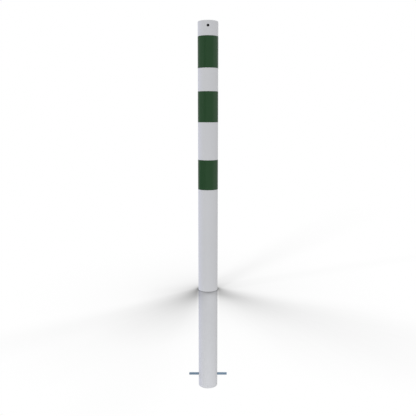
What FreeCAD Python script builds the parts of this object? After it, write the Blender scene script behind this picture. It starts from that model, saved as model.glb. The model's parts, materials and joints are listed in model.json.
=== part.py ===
import FreeCAD, Part
import os
from math import asin, cos, pi, sin, sqrt

import Sketcher
from FreeCAD import Vector

# Fixed barrier post: a round steel tube that is set in concrete by its lower end.
# A pressed cap closes the top, three bands of reflective film are wrapped round the tube, and a round bar
# through the buried end keys the post into the concrete.
# The origin is on the tube's axis at ground level, +Z is up, and the hanging hole faces -Y.
# All sizes are in millimetres.

# Driving dimensions: alias, value and what it measures.
SIZES = [
    ("height_above_ground", 1023.0, "ground up to the face of the cap"),
    ("depth_in_ground", 409.0, "ground down to the foot"),
    ("tube_diameter", 76.1, "outside of the tube"),
    ("tube_wall", 2.9, "wall of the tube"),
    ("foot_deburr", 0.5, "chamfer on the sawn edges of the foot"),
    ("cap_height", 9.0, "weld joint up to the face of the cap"),
    ("cap_wall", 2.5, "sheet that the cap is pressed from"),
    ("cap_bend_radius", 1.0, "inside of the cap's bent edge"),
    ("hanging_hole_diameter", 10.0, "hole that vents and hangs the post for coating"),
    ("hanging_hole_drop", 19.0, "face of the cap down to the hanging hole"),
    ("film_thickness", 0.4, "reflective film with its adhesive"),
    ("film_lap", 14.0, "overlap of the film's ends, at the back of the post"),
    ("film_ramp", 1.5, "stretch on which the outer end climbs over the inner one"),
    ("band_height", 113.5, "width of the film"),
    ("band_upper_drop", 54.0, "face of the cap down to the upper band"),
    ("band_upper_gap", 84.5, "white between the upper and the middle band"),
    ("band_lower_gap", 141.5, "white between the middle and the lower band"),
    ("rod_diameter", 10.0, "anchor rod"),
    ("rod_length", 154.0, "anchor rod"),
    ("rod_chamfer", 1.0, "chamfer on the ends of the rod"),
    ("rod_clearance", 0.25, "gap all round the rod in its two holes"),
    ("rod_height", 46.0, "foot up to the middle of the rod"),
]

# Radii and levels that follow from the driving dimensions. Levels are measured from the ground.
TUBE_RADIUS = "sizes.tube_diameter / 2"
TUBE_TOP = "(sizes.height_above_ground - sizes.cap_height)"
HANGING_HOLE_LEVEL = "(sizes.height_above_ground - sizes.hanging_hole_drop)"
ROD_HOLE_DIAMETER = "sizes.rod_diameter + 2 * sizes.rod_clearance"
UPPER_BAND_FOOT = "(sizes.height_above_ground - sizes.band_upper_drop - sizes.band_height)"
MIDDLE_BAND_FOOT = "(" + UPPER_BAND_FOOT + " - sizes.band_upper_gap - sizes.band_height)"
LOWER_BAND_FOOT = "(" + MIDDLE_BAND_FOOT + " - sizes.band_lower_gap - sizes.band_height)"

# How a sketch names its origin, its vertical axis and the points of a line or an arc.
ORIGIN = (-1, 1)
HORIZONTAL_AXIS = -1
VERTICAL_AXIS = -2
START, END, CENTRE = range(1, 4)

# An edge that lies this close to a level, or is this thin along an axis, counts as flat there.
FLAT = 1e-6

doc = FreeCAD.newDocument("barrier_post")


def write_sheet():
    sheet = doc.addObject("Spreadsheet::Sheet", "sizes")
    for row, (alias, value, meaning) in enumerate(SIZES, start=1):
        sheet.set("A%d" % row, meaning)
        sheet.set("B%d" % row, str(value))
        sheet.setAlias("B%d" % row, alias)
    doc.recompute()
    return sheet


sheet = write_sheet()


def size(formula):
    """The number that a formula in the sheet's sizes gives now."""
    return float(sheet.evalExpression(formula))


def add_body(label, level):
    """A body whose own origin is on the post's axis, at a level above or below the ground."""
    body = doc.addObject("PartDesign::Body", label)
    body.Label = label
    body.setExpression("Placement.Base.z", level)
    return body


def add_sketch(body, name, plane):
    sketch = body.newObject("Sketcher::SketchObject", name)
    for feature in body.Origin.OriginFeatures:
        if feature.Role == plane:
            sketch.AttachmentSupport = [(feature, "")]
    sketch.MapMode = "FlatFace"
    return sketch


def drive(sketch, name, formula, kind, *geometry):
    """A named constraint whose value follows the sheet."""
    index = sketch.addConstraint(Sketcher.Constraint(kind, *geometry, size(formula)))
    sketch.renameConstraint(index, name)
    sketch.setExpression("Constraints." + name, formula)


def tie(sketch, kind, *geometry):
    """A constraint without a value."""
    sketch.addConstraint(Sketcher.Constraint(kind, *geometry))


def add_circle(sketch, name, diameter, centre=Vector(0, 0, 0)):
    circle = sketch.addGeometry(Part.Circle(centre, Vector(0, 0, 1), size(diameter) / 2), False)
    drive(sketch, name, diameter, "Diameter", circle)
    return circle


def add_arc(sketch, centre, start, end):
    """An arc that runs anticlockwise from start to end."""
    radius = start.distanceToPoint(centre)
    angles = [Vector(1, 0, 0).getAngle(point - centre) for point in (start, end)]
    turns = [angle if point.y >= centre.y else 2 * pi - angle for angle, point in zip(angles, (start, end))]
    if turns[1] <= turns[0]:
        turns[1] += 2 * pi
    circle = Part.Circle(centre, Vector(0, 0, 1), radius)
    return sketch.addGeometry(Part.ArcOfCircle(circle, *turns), False)


def add_line(sketch, start, end):
    return sketch.addGeometry(Part.LineSegment(start, end), False)


def add_feature(body, kind, name, profile):
    feature = body.newObject("PartDesign::" + kind, name)
    feature.Profile = profile
    return feature


def add_pad(body, profile, name, length):
    pad = add_feature(body, "Pad", name, profile)
    pad.setExpression("Length", length)
    doc.recompute()
    return pad


def add_wall_hole(body, name, plane, level, diameter, walls):
    """A round hole at a level of the tube, through one wall on the plane's own side or through both walls."""
    sketch = add_sketch(body, name + "_sketch", plane)
    circle = add_circle(sketch, "diameter", diameter, Vector(0, size(level), 0))
    tie(sketch, "PointOnObject", circle, CENTRE, VERTICAL_AXIS)
    drive(sketch, "level", level, "DistanceY", *ORIGIN, circle, CENTRE)
    solid_before = body.Shape.Volume
    hole = add_feature(body, "Pocket", name, sketch)
    hole.Type = "ThroughAll"
    hole.SideType = "Symmetric" if walls == 2 else "One side"
    hole.Reversed = walls == 1
    doc.recompute()
    removed = solid_before - body.Shape.Volume
    plug = pi * size(diameter) ** 2 / 4 * size("sizes.tube_wall")
    if round(removed / plug) != walls:
        raise RuntimeError("%s doesn't go through %d wall of the tube" % (name, walls))
    return hole


def add_end_chamfer(body, name, width, at_end):
    """A chamfer on every round edge that at_end picks."""
    base = body.Tip
    edges = ["Edge%d" % number for number, edge in enumerate(base.Shape.Edges, start=1) if at_end(edge)]
    chamfer = body.newObject("PartDesign::Chamfer", name)
    chamfer.Base = (base, edges)
    chamfer.setExpression("Size", width)
    doc.recompute()
    return chamfer


def make_post_tube():
    """The tube, drilled for hanging near its top and for the anchor rod near its foot, and deburred."""
    body = add_body("post_tube", "-sizes.depth_in_ground")
    section = add_sketch(body, "tube_section", "XY_Plane")
    for name, diameter in (
        ("outside", "sizes.tube_diameter"),
        ("inside", "sizes.tube_diameter - 2 * sizes.tube_wall"),
    ):
        circle = add_circle(section, name, diameter)
        tie(section, "Coincident", circle, CENTRE, *ORIGIN)
    add_pad(body, section, "tube", TUBE_TOP + " + sizes.depth_in_ground")

    add_wall_hole(
        body, "hanging_hole", "XZ_Plane",
        HANGING_HOLE_LEVEL + " + sizes.depth_in_ground", "sizes.hanging_hole_diameter", walls=1,
    )
    add_wall_hole(body, "rod_holes", "YZ_Plane", "sizes.rod_height", ROD_HOLE_DIAMETER, walls=2)

    add_end_chamfer(body, "foot_chamfer", "sizes.foot_deburr", lambda edge: edge.BoundBox.ZMax < FLAT)
    return body


def make_top_cap():
    """The cap, pressed from sheet: a short skirt, a bent edge and a flat face.

    Its section is turned round the post's axis. Both skins of the bent edge share one centre, so the sheet
    has one thickness all over.
    """
    body = add_body("top_cap", TUBE_TOP)
    section = add_sketch(body, "cap_section", "XZ_Plane")

    wall = size("sizes.cap_wall")
    bend_radius = size("sizes.cap_bend_radius")
    edge_radius = bend_radius + wall
    face_level = size("sizes.cap_height")
    bend_centre = Vector(size(TUBE_RADIUS) - edge_radius, face_level - edge_radius, 0)

    outer_foot = Vector(bend_centre.x + edge_radius, 0, 0)
    outer_side = Vector(outer_foot.x, bend_centre.y, 0)
    outer_shoulder = Vector(bend_centre.x, face_level, 0)
    outer_middle = Vector(0, face_level, 0)
    inner_middle = Vector(0, face_level - wall, 0)
    inner_shoulder = Vector(bend_centre.x, inner_middle.y, 0)
    inner_side = Vector(bend_centre.x + bend_radius, bend_centre.y, 0)
    inner_foot = Vector(inner_side.x, 0, 0)

    foot = add_line(section, inner_foot, outer_foot)
    outer_skirt = add_line(section, outer_foot, outer_side)
    outer_bend = add_arc(section, bend_centre, outer_side, outer_shoulder)
    outer_face = add_line(section, outer_shoulder, outer_middle)
    axis_edge = add_line(section, outer_middle, inner_middle)
    inner_face = add_line(section, inner_middle, inner_shoulder)
    inner_bend = add_arc(section, bend_centre, inner_side, inner_shoulder)
    inner_skirt = add_line(section, inner_side, inner_foot)

    tie(section, "PointOnObject", foot, START, HORIZONTAL_AXIS)
    tie(section, "PointOnObject", foot, END, HORIZONTAL_AXIS)
    tie(section, "PointOnObject", axis_edge, START, VERTICAL_AXIS)
    tie(section, "PointOnObject", axis_edge, END, VERTICAL_AXIS)
    tie(section, "Coincident", foot, END, outer_skirt, START)
    tie(section, "Vertical", outer_skirt)
    tie(section, "Tangent", outer_skirt, END, outer_bend, START)
    tie(section, "Tangent", outer_bend, END, outer_face, START)
    tie(section, "Horizontal", outer_face)
    tie(section, "Coincident", outer_face, END, axis_edge, START)
    tie(section, "Coincident", axis_edge, END, inner_face, START)
    tie(section, "Horizontal", inner_face)
    tie(section, "Tangent", inner_face, END, inner_bend, END)
    tie(section, "Coincident", inner_bend, CENTRE, outer_bend, CENTRE)
    tie(section, "Tangent", inner_bend, START, inner_skirt, START)
    tie(section, "Vertical", inner_skirt)
    tie(section, "Coincident", inner_skirt, END, foot, START)
    drive(section, "skirt_radius", TUBE_RADIUS, "DistanceX", *ORIGIN, foot, END)
    drive(section, "face_level", "sizes.cap_height", "DistanceY", *ORIGIN, outer_face, END)
    drive(section, "inner_bend_radius", "sizes.cap_bend_radius", "Radius", inner_bend)
    drive(section, "outer_bend_radius", "sizes.cap_bend_radius + sizes.cap_wall", "Radius", outer_bend)

    turned = add_feature(body, "Revolution", "pressing", section)
    turned.ReferenceAxis = (section, ["V_Axis"])
    turned.Angle = 360
    doc.recompute()
    return body


def make_band(label, foot_level):
    """One band: a strip of film wrapped once round the tube, with its outer end over its inner end."""
    body = add_body(label, foot_level)
    section = add_sketch(body, label + "_section", "XY_Plane")

    film = size("sizes.film_thickness")
    single = size(TUBE_RADIUS) + film
    double = single + film
    half_lap = size("sizes.film_lap") / 2
    ramp_end = half_lap + size("sizes.film_ramp")
    cut_angle = pi / 2 + asin(half_lap / double)
    axis_point = Vector(0, 0, 0)
    lap_start = Vector(half_lap, sqrt(double**2 - half_lap**2), 0)
    lap_end = Vector(double * cos(cut_angle), double * sin(cut_angle), 0)
    wrap_start = lap_end * (single / double)
    wrap_end = Vector(ramp_end, sqrt(single**2 - ramp_end**2), 0)

    inside = add_circle(section, "inside", "sizes.tube_diameter")
    lap = add_arc(section, axis_point, lap_start, lap_end)
    cut_edge = add_line(section, lap_end, wrap_start)
    wrap = add_arc(section, axis_point, wrap_start, wrap_end)
    ramp = add_line(section, wrap_end, lap_start)

    for curve in (inside, lap, wrap):
        tie(section, "Coincident", curve, CENTRE, *ORIGIN)
    tie(section, "Coincident", lap, END, cut_edge, START)
    tie(section, "Coincident", cut_edge, END, wrap, START)
    tie(section, "Coincident", wrap, END, ramp, START)
    tie(section, "Coincident", ramp, END, lap, START)
    tie(section, "PointOnObject", *ORIGIN, cut_edge)
    drive(section, "single_radius", TUBE_RADIUS + " + sizes.film_thickness", "Radius", wrap)
    drive(section, "double_radius", TUBE_RADIUS + " + 2 * sizes.film_thickness", "Radius", lap)
    drive(section, "lap_left", "sizes.film_lap / 2", "DistanceX", lap, END, *ORIGIN)
    drive(section, "lap_right", "sizes.film_lap / 2", "DistanceX", *ORIGIN, lap, START)
    drive(section, "ramp_length", "sizes.film_ramp", "DistanceX", lap, START, wrap, END)

    add_pad(body, section, label + "_film", "sizes.band_height")
    return body


def make_anchor_rod():
    """The round bar that crosses the tube near its foot."""
    body = add_body("anchor_rod", "sizes.rod_height - sizes.depth_in_ground")
    section = add_sketch(body, "rod_section", "YZ_Plane")
    circle = add_circle(section, "outside", "sizes.rod_diameter")
    tie(section, "Coincident", circle, CENTRE, *ORIGIN)
    bar = add_pad(body, section, "rod", "sizes.rod_length")
    bar.SideType = "Symmetric"
    doc.recompute()
    add_end_chamfer(body, "rod_chamfer", "sizes.rod_chamfer", lambda edge: edge.BoundBox.XLength < FLAT)
    return body


def check_document(bodies):
    for thing in doc.Objects:
        if "Invalid" in thing.State or "Error" in thing.State:
            raise RuntimeError("%s failed: %s" % (thing.Label, thing.State))
        if thing.isDerivedFrom("Sketcher::SketchObject") and not thing.FullyConstrained:
            raise RuntimeError("%s isn't fully constrained" % thing.Label)
    for body in bodies:
        if body.Shape.isNull() or not body.Shape.isValid() or len(body.Shape.Solids) != 1:
            raise RuntimeError("%s isn't one valid solid" % body.Label)


def write_parts(bodies):
    os.makedirs("parts", exist_ok=True)
    for body in bodies:
        body.Shape.exportStep("parts/%s.step" % body.Label)
        print("%-12s %10.0f mm3, from %.2f to %.2f mm" % (
            body.Label, body.Shape.Volume, body.Shape.BoundBox.ZMin, body.Shape.BoundBox.ZMax
        ))


bodies = [
    make_post_tube(),
    make_top_cap(),
    make_band("band_upper", UPPER_BAND_FOOT),
    make_band("band_middle", MIDDLE_BAND_FOOT),
    make_band("band_lower", LOWER_BAND_FOOT),
    make_anchor_rod(),
]
doc.recompute()
check_document(bodies)
write_parts(bodies)
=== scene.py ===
import bpy
import bmesh
import json
import numpy as np
from math import atan2, cos, hypot, pi, radians, sin
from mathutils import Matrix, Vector


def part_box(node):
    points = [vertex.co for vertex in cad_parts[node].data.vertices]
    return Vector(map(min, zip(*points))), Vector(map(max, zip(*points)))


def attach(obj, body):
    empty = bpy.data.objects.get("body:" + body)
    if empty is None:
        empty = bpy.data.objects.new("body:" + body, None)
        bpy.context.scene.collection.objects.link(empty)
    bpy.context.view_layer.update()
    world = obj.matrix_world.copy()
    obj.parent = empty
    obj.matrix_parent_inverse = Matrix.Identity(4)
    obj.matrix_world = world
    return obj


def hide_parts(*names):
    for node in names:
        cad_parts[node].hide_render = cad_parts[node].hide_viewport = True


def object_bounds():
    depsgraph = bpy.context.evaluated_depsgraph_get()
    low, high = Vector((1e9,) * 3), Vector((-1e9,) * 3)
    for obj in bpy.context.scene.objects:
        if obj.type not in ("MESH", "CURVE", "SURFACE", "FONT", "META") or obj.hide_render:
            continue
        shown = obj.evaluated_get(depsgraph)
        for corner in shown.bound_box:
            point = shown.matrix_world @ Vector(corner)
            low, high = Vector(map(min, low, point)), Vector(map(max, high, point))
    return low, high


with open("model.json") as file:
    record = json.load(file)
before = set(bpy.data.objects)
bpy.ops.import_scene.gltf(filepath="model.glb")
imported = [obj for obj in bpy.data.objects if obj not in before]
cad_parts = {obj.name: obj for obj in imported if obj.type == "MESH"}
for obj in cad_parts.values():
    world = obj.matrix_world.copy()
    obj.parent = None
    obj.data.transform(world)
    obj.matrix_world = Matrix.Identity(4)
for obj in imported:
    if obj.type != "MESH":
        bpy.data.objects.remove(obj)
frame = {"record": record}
cad_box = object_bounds()

# The camera stands in front of the post, a little over half way up it, and looks slightly down, as in the
# photograph. Its place was found from how the tube narrows downwards, and from the curves of the bands and
# the foot.
CAMERA_PLACE = (0, -2.035, 0.677)
CAMERA_DOWN = radians(9.74)
CAMERA_LENS = 45.87
SENSOR_WIDTH = 36

camera_data = bpy.data.cameras.new("camera")
camera_data.lens = CAMERA_LENS
camera_data.sensor_width = SENSOR_WIDTH
camera = bpy.data.objects.new("camera", camera_data)
camera.location = CAMERA_PLACE
camera.rotation_euler = (radians(90) - CAMERA_DOWN, 0, 0)
bpy.context.scene.collection.objects.link(camera)
bpy.context.scene.camera = camera
bpy.context.scene.view_settings.view_transform = "Standard"

# The studio is white all round. The camera and the glossy finishes see it as plain white, and its own light
# on the post is dimmer, so that the white coat stays clear of pure white.
WHITE = (1, 1, 1, 1)
ROOM_LIGHT = (0.765, 0.765, 0.768, 1)


def place(tree, kind, inputs, **settings):
    """Places a node with these settings. Each of its inputs is joined to a socket or gets a value."""
    node = tree.nodes.new(kind)
    for setting, value in settings.items():
        setattr(node, setting, value)
    for name, value in inputs.items():
        if isinstance(value, bpy.types.NodeSocket):
            tree.links.new(value, node.inputs[name])
        else:
            node.inputs[name].default_value = value
    return node


world = bpy.data.worlds.new("studio")
world.use_nodes = True
bpy.context.scene.world = world
tree = world.node_tree
tree.nodes.clear()
ray = place(tree, "ShaderNodeLightPath", {})
looking = ray.outputs["Is Camera Ray"]
for bounce in ("Is Glossy Ray", "Is Transmission Ray"):
    either = place(tree, "ShaderNodeMath", {0: looking, 1: ray.outputs[bounce]}, operation="MAXIMUM")
    looking = either.outputs[0]
lighting = place(tree, "ShaderNodeBackground", {"Color": ROOM_LIGHT}).outputs[0]
backdrop = place(tree, "ShaderNodeBackground", {"Color": WHITE}).outputs[0]
shown = place(tree, "ShaderNodeMixShader", {0: looking, 1: lighting, 2: backdrop})
place(tree, "ShaderNodeOutputWorld", {"Surface": shown.outputs[0]})

# The lamps are soft and round. The post's shadows from those above the ground are painted on the ground,
# mostly to both sides. The last three lie below the ground, on the left and in front, so they fill the post's
# face and throw no shadow.
LAMPS = (
    # name, bearing from +X and height in degrees, distance and width in metres, light on what faces it,
    # colour
    ("high_right", 43, 84.7, 3.0, 0.48, 0.0280, (1.0, 1.0, 1.0)),
    ("right", 22, 79, 3.0, 0.72, 0.0023, (1.0, 1.0, 1.0)),
    ("low_right", 40, 29, 3.0, 0.64, 0.0123, (1.0, 1.0, 1.0)),
    ("back_right", 62.5, 76, 3.0, 0.56, 0.0310, (1.0, 1.0, 1.0)),
    ("back_right_lower", 56, 67.3, 3.0, 0.66, 0.0151, (1.0, 1.0, 1.0)),
    ("low_back", 75, 21, 3.0, 0.74, 0.0105, (1.0, 1.0, 1.0)),
    ("high_back", 121, 81.5, 3.0, 0.58, 0.0159, (1.0, 1.0, 1.0)),
    ("back_left", 133.6, 67.7, 3.0, 1.00, 0.0362, (1.0, 1.0, 1.0)),
    ("back_left_lower", 137.6, 58.5, 3.0, 0.76, 0.0111, (1.0, 1.0, 1.0)),
    ("left", 206, 18, 3.0, 0.36, 0.0075, (1.0, 1.0, 1.0)),
    ("front_left", 238.4, 37.4, 3.0, 0.70, 0.0130, (1.0, 1.0, 1.0)),
    ("blue_left", 154, -6, 3.0, 1.20, 0.235, (0.47, 0.53, 1.0)),
    ("front", 255, -2, 3.0, 1.00, 0.100, (0.88, 0.92, 1.0)),
    ("front_under", 280, -55, 0.60, 0.30, 0.050, (0.93, 0.955, 1.0)),
)
lamps = []
for name, bearing, height, distance, width, level, colour in LAMPS:
    turn, rise = radians(bearing), radians(height)
    way = Vector((cos(rise) * cos(turn), cos(rise) * sin(turn), sin(rise)))
    lamp_data = bpy.data.lights.new(name, "AREA")
    lamp_data.shape = "DISK"
    lamp_data.size = width
    lamp_data.energy = level * 4 * pi * distance ** 2
    lamp_data.color = colour
    lamp = bpy.data.objects.new(name, lamp_data)
    lamp.location = way * distance
    lamp.rotation_euler = way.to_track_quat("Z", "Y").to_euler()
    bpy.context.scene.collection.objects.link(lamp)
    lamps.append((way, distance, width, level))

# The blue lamp only tints the white coat's left edge and the front one only fills its face, so no finish
# mirrors them.
for name in ("blue_left", "front"):
    bpy.data.objects[name].visible_glossy = False

# Three cards stand round the camera, where only the glossy finishes see them. The tall black one gives the
# post a faint dark streak, the low black one darkens the left side of its lower part, and the white one
# brightens its right side.
CARD_DISTANCE = 3
CARDS = (
    # name, bearing from +X in degrees, width, and levels of its foot and top in metres, brightness
    ("tall_black_card", 236, 0.9, -3.0, 3.0, 0.01),
    ("low_black_card", 190, 3.6, -3.0, 0.45, 0.01),
    ("white_card", 350, 2.0, -3.0, 3.0, 2.0),
)
for name, bearing, width, foot, top, brightness in CARDS:
    turn = radians(bearing)
    card_place = (CARD_DISTANCE * cos(turn), CARD_DISTANCE * sin(turn), (foot + top) / 2)
    bpy.ops.object.select_all(action="DESELECT")
    bpy.ops.mesh.primitive_plane_add(size=1, location=card_place,
                                     rotation=(radians(90), 0, turn + radians(90)))
    card = bpy.context.object
    card.name = name
    card.scale = (width, top - foot, 1)
    surface = bpy.data.materials.new(name)
    surface.use_nodes = True
    tree = surface.node_tree
    tree.nodes.clear()
    glow = place(tree, "ShaderNodeEmission", {"Strength": brightness})
    place(tree, "ShaderNodeOutputMaterial", {"Surface": glow.outputs[0]})
    card.data.materials.append(surface)
    card.visible_camera = False
    card.visible_diffuse = False
    card.visible_transmission = False
    card.visible_shadow = False

# The ground is a clear sheet at ground level, so that the buried end shows below it, as in the photograph. A
# clear sheet takes no shadow, so the post's shadow is painted on it: each spot is darkened by as much light
# as the post keeps from it.
GROUND_SECTORS = 360
GROUND_TUCK = 0.98
BESIDE_POST = 1.0001
GROUND_STEPS = [1 / GROUND_TUCK] + [1.02] * 8 + [1.075] * 70
LAMP_POINTS = 128
GOLDEN_TURN = radians(137.508)
ROOM_SHADE = 1.06
GIVEN_BACK = 0.46
GIVEN_BACK_REACH = 0.1
GIVEN_BACK_EDGE = 10
CREVICE_SHADE = 0.6
CREVICE_WIDTH = 0.004
BURNT_OUT = 0.983

tube_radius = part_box("post_tube")[1].x
post_top = cad_box[1].z
bpy.ops.object.select_all(action="DESELECT")
bpy.ops.mesh.primitive_circle_add(vertices=GROUND_SECTORS, radius=GROUND_TUCK * tube_radius,
                                  location=(0, 0, 0))
ground = bpy.context.object
ground.name = "ground"
bpy.ops.object.mode_set(mode="EDIT")
for step in GROUND_STEPS:
    bpy.ops.mesh.extrude_region_move()
    bpy.ops.transform.resize(value=(step, step, 1), center_override=(0, 0, 0))
bpy.ops.object.mode_set(mode="OBJECT")

# First comes the share of the lamps' light that reaches each spot. The sheet's inner edge is tucked into the
# post, and is shaded like the ground right beside it.
spots = np.empty(3 * len(ground.data.vertices))
ground.data.vertices.foreach_get("co", spots)
spots = spots.reshape(-1, 3)[:, :2]
spots = spots * np.maximum(BESIDE_POST * tube_radius / np.hypot(spots[:, 0], spots[:, 1]), 1)[:, None]
lit, unshaded = np.zeros(len(spots)), 0
for way, distance, width, level in lamps:
    if way.z < 0:
        continue
    strength = level * way.z / LAMP_POINTS
    side = way.orthogonal().normalized()
    up = way.cross(side)
    for point in range(LAMP_POINTS):
        reach = width / 2 * ((point + 0.5) / LAMP_POINTS) ** 0.5
        turn = point * GOLDEN_TURN
        source = way * distance + side * reach * cos(turn) + up * reach * sin(turn)
        # The ray from each spot to the lamp meets the post's round side where a * s * s + 2 * b * s + c = 0.
        step = np.array(source[:2]) - spots
        a, b, c = (step ** 2).sum(1), (spots * step).sum(1), (spots ** 2).sum(1) - tube_radius ** 2
        under_root = b * b - a * c
        meets = (-b - np.sqrt(np.maximum(under_root, 0))) / a
        blocked = (under_root > 0) & (meets > 0) & (meets < 1) & (meets * source.z < post_top)
        lit += strength * ~blocked
        unshaded += strength

# Then comes the share of the room that the post hides, which is half of it right beside the post. Straight in
# front, painted light stands for the light that the post's white face gives back, to a hand's breadth away.
# The last few millimetres beside the post get a painted contact shade, darker still, all round.
away = np.hypot(spots[:, 0], spots[:, 1])
room_seen = 1 - ROOM_SHADE * np.arcsin(np.minimum(tube_radius / away, 1)) / pi
in_front = (spots[:, 1] < 0) * np.exp(-(spots[:, 0] / tube_radius) ** GIVEN_BACK_EDGE)
given_back = GIVEN_BACK * in_front * np.exp((tube_radius - away) / GIVEN_BACK_REACH)
crevice = 1 - CREVICE_SHADE * np.exp((tube_radius - away) / CREVICE_WIDTH)
light = (lit / unshaded * room_seen + given_back) * crevice
# light_left is the sheet's colour: painted shadow, with painted light straight in front of the post.
light_left = ground.data.attributes.new("light_left", "FLOAT", "POINT")
light_left.data.foreach_set("value", np.minimum(light / BURNT_OUT, 1))

clear = bpy.data.materials.new("clear_ground")
clear.use_nodes = True
tree = clear.node_tree
tree.nodes.clear()
share = place(tree, "ShaderNodeAttribute", {}, attribute_name="light_left")
sheet = place(tree, "ShaderNodeBsdfTransparent", {"Color": share.outputs["Fac"]})
place(tree, "ShaderNodeOutputMaterial", {"Surface": sheet.outputs[0]})
ground.data.materials.append(clear)
ground.visible_diffuse = False
ground.visible_glossy = False
ground.visible_transmission = False
ground.visible_shadow = False

# The post's tube is one length of round steel tube, sawn and deburred. It is drilled near its top, to hang it
# for coating, and near its open foot for the anchor rod. It was galvanised inside and out, and then powder
# coated white outside.
TUBE_SIDES = 256
HOLE_SIDES = 64
HOLE_COLLAR = 0.008
FOOT_DEBURR = 0.0005
HOLE_DEBURR = 0.0002
RIM_SLACK = 0.0001
ROD_CLEARANCE = 0.00025
SMOOTH_ANGLE = radians(30)
TINY = 0.00002

hanging_hole = {mount["name"]: mount for mount in frame["record"]["mounts"]}["hanging_hole"]
hanging_level = hanging_hole["pos_m"][2]
hanging_radius = hanging_hole["dims"]["r_mm"] / 1000
tube_wall = hanging_hole["dims"]["length_mm"] / 1000
tube_low, tube_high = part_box("post_tube")
rod_low, rod_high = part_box("anchor_rod")
rod_level = (rod_low.z + rod_high.z) / 2
rod_radius = (rod_high.z - rod_low.z) / 2
rod_hole_radius = rod_radius + ROD_CLEARANCE


def finish_turns(piece):
    """Puts a turned piece's place and turn into its mesh."""
    bpy.ops.object.select_all(action="DESELECT")
    piece.select_set(True)
    bpy.context.view_layer.objects.active = piece
    bpy.ops.object.transform_apply(location=True, rotation=True, scale=True)


def select_where(piece, kind, wanted):
    """Selects the piece's vertices, edges or faces that pass the test, and no others. It is in edit mode."""
    bpy.ops.mesh.select_mode(type=kind)
    bpy.ops.mesh.select_all(action="DESELECT")
    shape = bmesh.from_edit_mesh(piece.data)
    for part in {"VERT": shape.verts, "EDGE": shape.edges, "FACE": shape.faces}[kind]:
        part.select_set(wanted(part))
    shape.select_flush_mode()
    bmesh.update_edit_mesh(piece.data)


def apply_modifier(piece, kind, **settings):
    """Adds a modifier with these settings to the piece and applies it."""
    bpy.context.view_layer.objects.active = piece
    modifier = piece.modifiers.new(kind.lower(), kind)
    for setting, value in settings.items():
        setattr(modifier, setting, value)
    bpy.ops.object.modifier_apply(modifier=modifier.name)


def bore(piece, radius, start, end):
    """Bores a round hole through the piece, from one point to another."""
    way = Vector(end) - Vector(start)
    bpy.ops.object.select_all(action="DESELECT")
    bpy.ops.mesh.primitive_cylinder_add(vertices=HOLE_SIDES, radius=radius, depth=way.length,
                                        location=Vector(start) + way / 2,
                                        rotation=way.to_track_quat("Z", "X").to_euler())
    drill = bpy.context.object
    apply_modifier(piece, "BOOLEAN", operation="DIFFERENCE", solver="EXACT", object=drill)
    bpy.data.objects.remove(drill)


def is_foot_edge(edge):
    """Tells an edge of the tube's cut lower end."""
    sharp = edge.calc_face_angle(0) > SMOOTH_ANGLE
    return sharp and all(abs(corner.co.z - tube_low.z) < TINY for corner in edge.verts)


def is_hole_rim(edge):
    """Tells an edge where a hole comes out on the tube's outer face."""
    sharp = edge.calc_face_angle(0) > SMOOTH_ANGLE
    return sharp and all(
        abs(hypot(corner.co.x, corner.co.y) - tube_radius) < RIM_SLACK
        and tube_low.z + HOLE_COLLAR < corner.co.z < tube_high.z - TINY for corner in edge.verts)


bpy.ops.object.select_all(action="DESELECT")
bpy.ops.mesh.primitive_cylinder_add(vertices=TUBE_SIDES, radius=tube_radius, depth=tube_high.z - tube_low.z,
                                    end_fill_type="NOTHING", location=(0, 0, (tube_high.z + tube_low.z) / 2))
tube = bpy.context.object
tube.name = "painted_tube"
finish_turns(tube)
bpy.ops.object.mode_set(mode="EDIT")
for level in (hanging_level - hanging_radius - HOLE_COLLAR / 2,
              rod_level + rod_hole_radius + HOLE_COLLAR, rod_level - rod_hole_radius - HOLE_COLLAR):
    bpy.ops.mesh.select_all(action="SELECT")
    bpy.ops.mesh.bisect(plane_co=(0, 0, level), plane_no=(0, 0, 1))
bpy.ops.object.mode_set(mode="OBJECT")
apply_modifier(tube, "SOLIDIFY", thickness=tube_wall, offset=-1, use_even_offset=True)
bpy.ops.object.mode_set(mode="EDIT")
select_where(tube, "EDGE", is_foot_edge)
bpy.ops.mesh.bevel(offset=FOOT_DEBURR, segments=3, affect="EDGES")
bpy.ops.object.mode_set(mode="OBJECT")
bore(tube, hanging_radius, (0, -2 * tube_radius, hanging_level), (0, 0, hanging_level))
bore(tube, rod_hole_radius, (-2 * tube_radius, 0, rod_level), (2 * tube_radius, 0, rod_level))
bpy.context.view_layer.objects.active = tube
bpy.ops.object.mode_set(mode="EDIT")
select_where(tube, "EDGE", is_hole_rim)
bpy.ops.mesh.bevel(offset=HOLE_DEBURR, segments=3, affect="EDGES")
bpy.ops.object.mode_set(mode="OBJECT")
bpy.ops.object.select_all(action="DESELECT")
tube.select_set(True)
bpy.ops.object.shade_smooth_by_angle(angle=SMOOTH_ANGLE)

# The powder coat is white and satin, with the fine orange peel of baked powder and a faint drift in tone. It
# ends just inside the holes and the foot, where the galvanising is bare. That bare zinc is grey, and its grey
# is darkened further as painted shade, to deepen the holes and the tube's inside. A trace of the ground weld
# shows under the cap.
COAT_WHITE = (0.607, 0.611, 0.626, 1)
ZINC_GREY_WITH_PAINTED_SHADE = (0.13, 0.135, 0.14, 1)
COAT_REACH = 0.0005
PEEL_PER_METRE = 800
DRIFT_PER_METRE = 7
COAT_RELIEF = 0.0001
SPANGLE_PER_METRE = 90
CAP_WALL = 0.0025
WELD_HALF_WIDTH = 0.003


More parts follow.
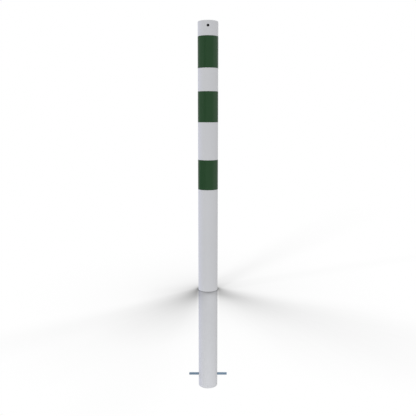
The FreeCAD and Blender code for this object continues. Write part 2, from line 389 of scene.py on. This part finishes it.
def make_unevenness():
    """Makes the node group of a finish that is nowhere quite even, in tone and in height."""
    group = bpy.data.node_groups.new("unevenness", "ShaderNodeTree")
    for name, kind in (("Place", "Vector"), ("Spots Per Metre", "Float"), ("Tone Change", "Float")):
        group.interface.new_socket(name, in_out="INPUT", socket_type="NodeSocket" + kind)
    for name in ("Tone", "Height"):
        group.interface.new_socket(name, in_out="OUTPUT", socket_type="NodeSocketFloat")
    given = place(group, "NodeGroupInput", {}).outputs
    spots = place(group, "ShaderNodeTexNoise", {"Vector": given["Place"], "Scale": given["Spots Per Metre"]})
    swing = place(group, "ShaderNodeMath", {0: spots.outputs["Fac"], 1: 0.5}, operation="SUBTRACT")
    change = place(group, "ShaderNodeMath", {0: given["Tone Change"], 1: 4}, operation="MULTIPLY")
    tone = place(group, "ShaderNodeMath", {0: swing.outputs[0], 1: change.outputs[0], 2: 1},
                 operation="MULTIPLY_ADD")
    place(group, "NodeGroupOutput", {"Tone": tone.outputs[0], "Height": spots.outputs["Fac"]})
    return group


def spread(tree, spots_at, per_metre, change):
    """Places the group in a material, with the place it reads, its fineness and its change in tone."""
    node = place(tree, "ShaderNodeGroup", {}, node_tree=unevenness)
    tree.links.new(spots_at, node.inputs["Place"])
    node.inputs["Spots Per Metre"].default_value = per_metre
    node.inputs["Tone Change"].default_value = change
    return node.outputs


def blend(tree, share, first, second, kind="MIX"):
    """Mixes or multiplies two colours, each a socket or a value."""
    mixed = place(tree, "ShaderNodeMix", {0: share, 6: first, 7: second}, data_type="RGBA", blend_type=kind)
    return mixed.outputs[2]


def work_out(tree, operation, *terms):
    """Places a math node and gives its result."""
    return place(tree, "ShaderNodeMath", dict(enumerate(terms)), operation=operation).outputs[0]


def start_material(name, **values):
    """Makes a material with these values on its shader, and gives its tree, shader and place sockets too."""
    material = bpy.data.materials.new(name)
    material.use_nodes = True
    tree = material.node_tree
    shader = tree.nodes["Principled BSDF"]
    for socket, value in values.items():
        shader.inputs[socket.replace("_", " ")].default_value = value
    spot = place(tree, "ShaderNodeTexCoord", {}).outputs["Object"]
    axes = place(tree, "ShaderNodeSeparateXYZ", {0: spot}).outputs
    return material, tree, shader, spot, axes


unevenness = make_unevenness()
coat, tree, shader, spot, axes = start_material("white_powder_coat", Specular_IOR_Level=0.12)
across = work_out(tree, "SQRT", work_out(tree, "ADD", work_out(tree, "MULTIPLY", axes["X"], axes["X"]),
                                         work_out(tree, "MULTIPLY", axes["Y"], axes["Y"])))
cap_low, cap_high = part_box("top_cap")
inside = work_out(tree, "MULTIPLY", work_out(tree, "LESS_THAN", across, tube_radius - COAT_REACH),
                  work_out(tree, "LESS_THAN", axes["Z"], cap_high.z - CAP_WALL + TINY))
drift = spread(tree, spot, DRIFT_PER_METRE, 0.012)
peel = spread(tree, spot, PEEL_PER_METRE, 0.008)
tone = work_out(tree, "MULTIPLY", drift["Tone"], peel["Tone"])
colour = blend(tree, 1.0, COAT_WHITE, tone, "MULTIPLY")
spangle = spread(tree, spot, SPANGLE_PER_METRE, 0.12)
# The bare zinc's grey is darkened as painted shade, so that the holes look deeper.
zinc = blend(tree, 1.0, ZINC_GREY_WITH_PAINTED_SHADE, spangle["Tone"], "MULTIPLY")
tree.links.new(blend(tree, inside, colour, zinc), shader.inputs["Base Color"])
rough = place(tree, "ShaderNodeMapRange", {"Value": drift["Height"], "From Min": 0.3, "From Max": 0.7,
                                           "To Min": 0.42, "To Max": 0.5})
tree.links.new(rough.outputs[0], shader.inputs["Roughness"])
from_weld = work_out(tree, "ABSOLUTE", work_out(tree, "SUBTRACT", axes["Z"], tube_high.z))
weld = place(tree, "ShaderNodeMapRange", {"Value": from_weld, "From Min": 0.0, "From Max": WELD_HALF_WIDTH,
                                          "To Min": 1.0, "To Max": 0.0}, interpolation_type="SMOOTHSTEP")
height = work_out(tree, "MULTIPLY_ADD", peel["Height"], 0.25, weld.outputs[0])
relief = place(tree, "ShaderNodeBump", {"Strength": 1.0, "Distance": COAT_RELIEF, "Height": height})
tree.links.new(relief.outputs[0], shader.inputs["Normal"])
tube.data.materials.append(coat)
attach(tube, "root")
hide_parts("post_tube")

# The top cap is a shallow steel cap, pressed from thick sheet with a rounded edge. It is welded on the tube's
# top end, ground flush and coated with it.
CAP_BEND = 0.0035
CAP_INNER_BEND = 0.001
TOP_INSET = 0.001
TOP_AREA = 0.001
FACING = 0.9

bpy.ops.object.select_all(action="DESELECT")
bpy.ops.mesh.primitive_cylinder_add(vertices=TUBE_SIDES, radius=tube_radius, depth=cap_high.z - cap_low.z,
                                    location=(0, 0, (cap_high.z + cap_low.z) / 2))
cap = bpy.context.object
cap.name = "pressed_cap"
finish_turns(cap)
bpy.ops.object.mode_set(mode="EDIT")
select_where(cap, "FACE", lambda face: face.normal.z < -FACING)
bpy.ops.mesh.inset(thickness=CAP_WALL)
bpy.ops.mesh.extrude_region_move(TRANSFORM_OT_translate={"value": (0, 0, cap_high.z - cap_low.z - CAP_WALL)})
for level, bend in ((cap_high.z - CAP_WALL, CAP_INNER_BEND), (cap_high.z, CAP_BEND)):
    select_where(cap, "EDGE", lambda edge: all(abs(corner.co.z - level) < TINY for corner in edge.verts))
    bpy.ops.mesh.bevel(offset=bend, segments=10, affect="EDGES")
select_where(cap, "FACE", lambda face: face.normal.z > FACING and face.calc_area() > TOP_AREA)
bpy.ops.mesh.inset(thickness=TOP_INSET)
bpy.ops.object.mode_set(mode="OBJECT")
bpy.ops.object.shade_smooth_by_angle(angle=SMOOTH_ANGLE)
cap.data.materials.append(coat)
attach(cap, "root")
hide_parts("top_cap")

# The bands are dark green reflective film, cut in strips and wrapped round the coated tube. Each strip's
# outer end lies over its inner end at the back of the post, with a cut edge on one side and a short climb on
# the other.
FILM_SIDES = 240
LAP_HALF = 7 * radians(360 / FILM_SIDES)
LAP_CLIMB = radians(360 / FILM_SIDES)
FILM_GREEN = (0.0215, 0.0612, 0.0245, 1)
CELL_WIDTH = 0.0048
CELL_HEIGHT = 0.0036
SEAM_SHARE = 0.07
BEADS_PER_METRE = 2200
FILM_DRIFT_PER_METRE = 12
FILM_RELIEF = 0.00001

# The film's clear face is sealed to its beads along fine crossed lines, which slant up and down the strip.
film, tree, shader, spot, axes = start_material("green_film", Specular_IOR_Level=0.1)
from_cut = place(tree, "ShaderNodeMapping", {"Vector": spot, "Rotation": (0, 0, -LAP_HALF)})
turned = place(tree, "ShaderNodeSeparateXYZ", {0: from_cut.outputs[0]}).outputs
round_angle = work_out(tree, "ARCTAN2", turned["X"], work_out(tree, "MULTIPLY", turned["Y"], -1.0))
round_way = work_out(tree, "MULTIPLY", round_angle, tube_radius / CELL_WIDTH)
up_way = work_out(tree, "DIVIDE", axes["Z"], CELL_HEIGHT)
rising = work_out(tree, "PINGPONG", work_out(tree, "ADD", round_way, up_way), 0.5)
falling = work_out(tree, "PINGPONG", work_out(tree, "SUBTRACT", round_way, up_way), 0.5)
from_seam = work_out(tree, "MINIMUM", rising, falling)
seam = place(tree, "ShaderNodeMapRange", {"Value": from_seam, "From Min": 0.0, "From Max": SEAM_SHARE,
                                          "To Min": 1.14, "To Max": 1.0}, interpolation_type="SMOOTHSTEP")
drift = spread(tree, spot, FILM_DRIFT_PER_METRE, 0.03)
beads = spread(tree, spot, BEADS_PER_METRE, 0.08)
tone = work_out(tree, "MULTIPLY", work_out(tree, "MULTIPLY", drift["Tone"], beads["Tone"]), seam.outputs[0])
tree.links.new(blend(tree, 1.0, FILM_GREEN, tone, "MULTIPLY"), shader.inputs["Base Color"])
rough = place(tree, "ShaderNodeMapRange", {"Value": drift["Height"], "From Min": 0.3, "From Max": 0.7,
                                           "To Min": 0.27, "To Max": 0.33})
tree.links.new(rough.outputs[0], shader.inputs["Roughness"])
relief = place(tree, "ShaderNodeBump", {"Strength": 1.0, "Distance": FILM_RELIEF, "Height": beads["Height"]})
tree.links.new(relief.outputs[0], shader.inputs["Normal"])


def back_angle(point):
    """The angle of a point round the post's axis, from the middle of its back."""
    return atan2(point.x, point.y)


for node in ("band_upper", "band_middle", "band_lower"):
    film_low, film_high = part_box(node)
    film_radius = -film_low.y
    lap_radius = film_high.y
    half_way_up = (film_high.z + film_low.z) / 2
    bpy.ops.object.select_all(action="DESELECT")
    bpy.ops.mesh.primitive_cylinder_add(vertices=FILM_SIDES, radius=film_radius,
                                        depth=film_high.z - film_low.z, end_fill_type="NOTHING",
                                        location=(0, 0, half_way_up))
    band = bpy.context.object
    band.name = node + "_film"
    finish_turns(band)
    apply_modifier(band, "SOLIDIFY", thickness=film_radius - tube_radius, offset=-1, use_even_offset=True)
    bpy.ops.object.mode_set(mode="EDIT")
    select_where(band, "FACE", lambda face: (
        abs(face.normal.z) < FACING and face.normal.y > 0
        and -LAP_HALF < back_angle(face.calc_center_median()) < LAP_HALF + LAP_CLIMB
        and abs(hypot(face.verts[0].co.x, face.verts[0].co.y) - film_radius) < TINY))
    lift = lap_radius / film_radius
    bpy.ops.mesh.extrude_region_move()
    bpy.ops.transform.resize(value=(lift, lift, 1), center_override=(0, 0, 0))
    select_where(band, "VERT", lambda corner: (
        back_angle(corner.co) > LAP_HALF + LAP_CLIMB / 2
        and hypot(corner.co.x, corner.co.y) > film_radius + TINY))
    bpy.ops.transform.resize(value=(1 / lift, 1 / lift, 1), center_override=(0, 0, 0))
    bpy.ops.mesh.select_all(action="SELECT")
    bpy.ops.mesh.remove_doubles(threshold=TINY)
    bpy.ops.mesh.normals_make_consistent(inside=False)
    bpy.ops.object.mode_set(mode="OBJECT")
    bpy.ops.object.shade_smooth_by_angle(angle=SMOOTH_ANGLE)
    band.data.materials.append(film)
    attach(band, "root")
    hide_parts(node)

# The anchor rod is a short piece of drawn round bar, cropped, chamfered and zinc plated. It is pushed through
# the tube's two holes and ties the post into its concrete.
ROD_SIDES = 96
ROD_CHAMFER = 0.001
PLATE_ZINC = (0.165, 0.232, 0.305, 1)
DRAWN_PER_METRE = 1500
CROPPED_PER_METRE = 900
BLOOM_PER_METRE = 60
PLATE_RELIEF = 0.00002

bpy.ops.object.select_all(action="DESELECT")
bpy.ops.mesh.primitive_cylinder_add(vertices=ROD_SIDES, radius=rod_radius, depth=rod_high.x - rod_low.x,
                                    location=(0, 0, rod_level), rotation=(0, radians(90), 0))
rod = bpy.context.object
rod.name = "cross_rod"
finish_turns(rod)
bpy.ops.object.mode_set(mode="EDIT")
select_where(rod, "EDGE", lambda edge: edge.calc_face_angle(0) > SMOOTH_ANGLE)
bpy.ops.mesh.bevel(offset=ROD_CHAMFER, segments=1, affect="EDGES")
bpy.ops.object.mode_set(mode="OBJECT")
bpy.ops.object.shade_smooth_by_angle(angle=SMOOTH_ANGLE)

# Drawing leaves fine lines along the bar, and cropping leaves coarser ones across its ends.
plate, tree, shader, spot, axes = start_material("zinc_plate", Metallic=1.0)
along = place(tree, "ShaderNodeMapping", {"Vector": spot, "Scale": (0.03, 1, 1)})
over_end = place(tree, "ShaderNodeMapping", {"Vector": spot, "Scale": (1, 0.04, 1)})
drawn = spread(tree, along.outputs[0], DRAWN_PER_METRE, 0.10)
cropped = spread(tree, over_end.outputs[0], CROPPED_PER_METRE, 0.16)
bloom = spread(tree, spot, BLOOM_PER_METRE, 0.07)
at_end = work_out(tree, "GREATER_THAN", work_out(tree, "ABSOLUTE", axes["X"]), rod_high.x - TINY)
tone = work_out(tree, "MULTIPLY", blend(tree, at_end, drawn["Tone"], cropped["Tone"]), bloom["Tone"])
tree.links.new(blend(tree, 1.0, PLATE_ZINC, tone, "MULTIPLY"), shader.inputs["Base Color"])
rough = place(tree, "ShaderNodeMapRange", {"Value": bloom["Height"], "From Min": 0.3, "From Max": 0.7,
                                           "To Min": 0.36, "To Max": 0.46})
tree.links.new(rough.outputs[0], shader.inputs["Roughness"])
relief = place(tree, "ShaderNodeBump", {"Strength": 0.5, "Distance": PLATE_RELIEF,
                                        "Height": blend(tree, at_end, drawn["Height"], cropped["Height"])})
tree.links.new(relief.outputs[0], shader.inputs["Normal"])
rod.data.materials.append(plate)
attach(rod, "root")
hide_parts("anchor_rod")
